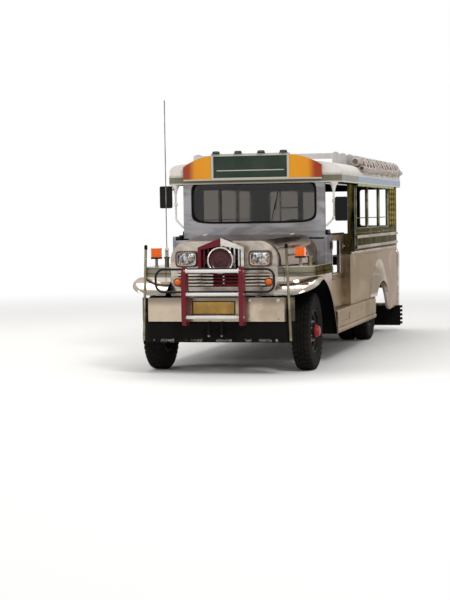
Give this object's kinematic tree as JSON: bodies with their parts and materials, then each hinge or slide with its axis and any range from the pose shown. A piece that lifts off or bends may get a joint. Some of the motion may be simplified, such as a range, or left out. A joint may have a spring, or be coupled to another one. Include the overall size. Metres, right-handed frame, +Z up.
{
  "type": "jeepney",
  "caption": "Long-wheelbase jeepney: polished steel body, open side windows, flat roof tray, bull bar, hinged hood and half doors, steered front wheels, twin rear wheels.",
  "frame": {"origin": "on the ground, in the middle of the length and width", "axes": "+X to the vehicle's left, +Y to its rear, +Z up; the front faces -Y"},
  "size_m": [2.05, 6.64, 2.72],
  "materials": {
    "chassis_black": "satin black paint, dusty",
    "axle_steel": "dark cast metal",
    "polished_steel": "polished stainless sheet",
    "chrome_trim": "bright plated",
    "grey_steel": "dull grey steel",
    "roof_white": "weathered white paint",
    "band_blue": "pale blue paint",
    "nose_red": "dark red gloss paint",
    "nose_silver": "silver",
    "sign_paint": "orange and green sign paint",
    "black_plastic": "matt black",
    "lamp_lens": "clear lens",
    "amber_lens": "amber lens",
    "red_lens": "red lens",
    "glass_clear": "clear",
    "rubber_black": "matt rubber",
    "tyre_black": "dusty tyre rubber",
    "wheel_black": "black wheel paint",
    "seat_vinyl": "dark red vinyl",
    "curtain_cloth": "dusty pinkish tarpaulin",
    "floor_steel": "worn tread plate",
    "dash_black": "dark grained"
  },
  "bodies": {
    "body": {"chassis_frame": "chassis_black", "front_axle": "axle_steel", "rear_axle": "axle_steel", "leaf_springs": "axle_steel", "driveline": "axle_steel", "exhaust": "axle_steel", "fuel_tank": "chassis_black", "cowl": "polished_steel", "windscreen_frame": "grey_steel", "windscreen_glass": "glass_clear", "dashboard": "dash_black", "steering_wheel": "black_plastic", "signboard": "sign_paint", "roof_panel": "roof_white", "drip_band": "band_blue", "roof_rack": "grey_steel", "side_curtains": "curtain_cloth", "body_side_left": "polished_steel", "body_side_right": "polished_steel", "side_trim": "chrome_trim", "rear_wall": "polished_steel", "floor": "floor_steel", "bench_bases": "chassis_black", "benches": "seat_vinyl", "front_seats": "seat_vinyl", "seat_bases": "chassis_black", "nose_shell": "nose_silver", "grille": "chrome_trim", "headlights": "lamp_lens", "amber_lamps": "amber_lens", "fender_left": "polished_steel", "fender_right": "polished_steel", "bumper_front": "polished_steel", "front_apron": "rubber_black", "bull_bar": "nose_red", "guide_poles": "chrome_trim", "whip_antenna": "chrome_trim", "mirrors": "black_plastic", "cab_sills": "polished_steel", "skirts": "polished_steel", "rear_step": "chrome_trim", "roof_ladder": "chrome_trim", "mudflaps": "rubber_black", "tail_lamps": "red_lens"},
    "hood_lid": {"hood": "polished_steel"},
    "door_left_leaf": {"door_left": "polished_steel"},
    "door_right_leaf": {"door_right": "polished_steel"},
    "steer_left": {"knuckle_left": "axle_steel"},
    "steer_right": {"knuckle_right": "axle_steel"},
    "wheel_front_left": {"tyre_front_left": "tyre_black", "rim_front_left": "wheel_black"},
    "wheel_front_right": {"tyre_front_right": "tyre_black", "rim_front_right": "wheel_black"},
    "wheel_rear_left": {"tyre_rear_left": "tyre_black", "rim_rear_left": "wheel_black"},
    "wheel_rear_right": {"tyre_rear_right": "tyre_black", "rim_rear_right": "wheel_black"}
  },
  "joints": [
    {"name": "hood_hinge", "type": "hinge", "parent": "body", "child": "hood_lid", "pos_m": [0, -1.694, 1.352], "axis": [-1, 0, 0], "range_deg": [0, 55]},
    {"name": "door_left_hinge", "type": "hinge", "parent": "body", "child": "door_left_leaf", "pos_m": [0.845, -1.466, 0.86], "axis": [0, 0, -1], "range_deg": [0, 65]},
    {"name": "door_right_hinge", "type": "hinge", "parent": "body", "child": "door_right_leaf", "pos_m": [-0.845, -1.466, 0.86], "axis": [0, 0, 1], "range_deg": [0, 65]},
    {"name": "steering_left", "type": "hinge", "parent": "body", "child": "steer_left", "pos_m": [0.62, -2.45, 0.39], "axis": [0, 0, 1], "range_deg": [-32, 32]},
    {"name": "steering_right", "type": "hinge", "parent": "body", "child": "steer_right", "pos_m": [-0.62, -2.45, 0.39], "axis": [0, 0, 1], "range_deg": [-32, 32]},
    {"name": "wheel_front_left_spin", "type": "hinge", "parent": "steer_left", "child": "wheel_front_left", "pos_m": [0.759, -2.45, 0.39], "axis": [1, 0, 0], "continuous": true},
    {"name": "wheel_front_right_spin", "type": "hinge", "parent": "steer_right", "child": "wheel_front_right", "pos_m": [-0.759, -2.45, 0.39], "axis": [1, 0, 0], "continuous": true},
    {"name": "wheel_rear_left_spin", "type": "hinge", "parent": "body", "child": "wheel_rear_left", "pos_m": [0.7, 1.48, 0.39], "axis": [1, 0, 0], "continuous": true},
    {"name": "wheel_rear_right_spin", "type": "hinge", "parent": "body", "child": "wheel_rear_right", "pos_m": [-0.7, 1.48, 0.39], "axis": [1, 0, 0], "continuous": true}
  ],
  "couplings": [
    {"joint": "steering_right", "follows": "steering_left", "ratio": 1}
  ]
}
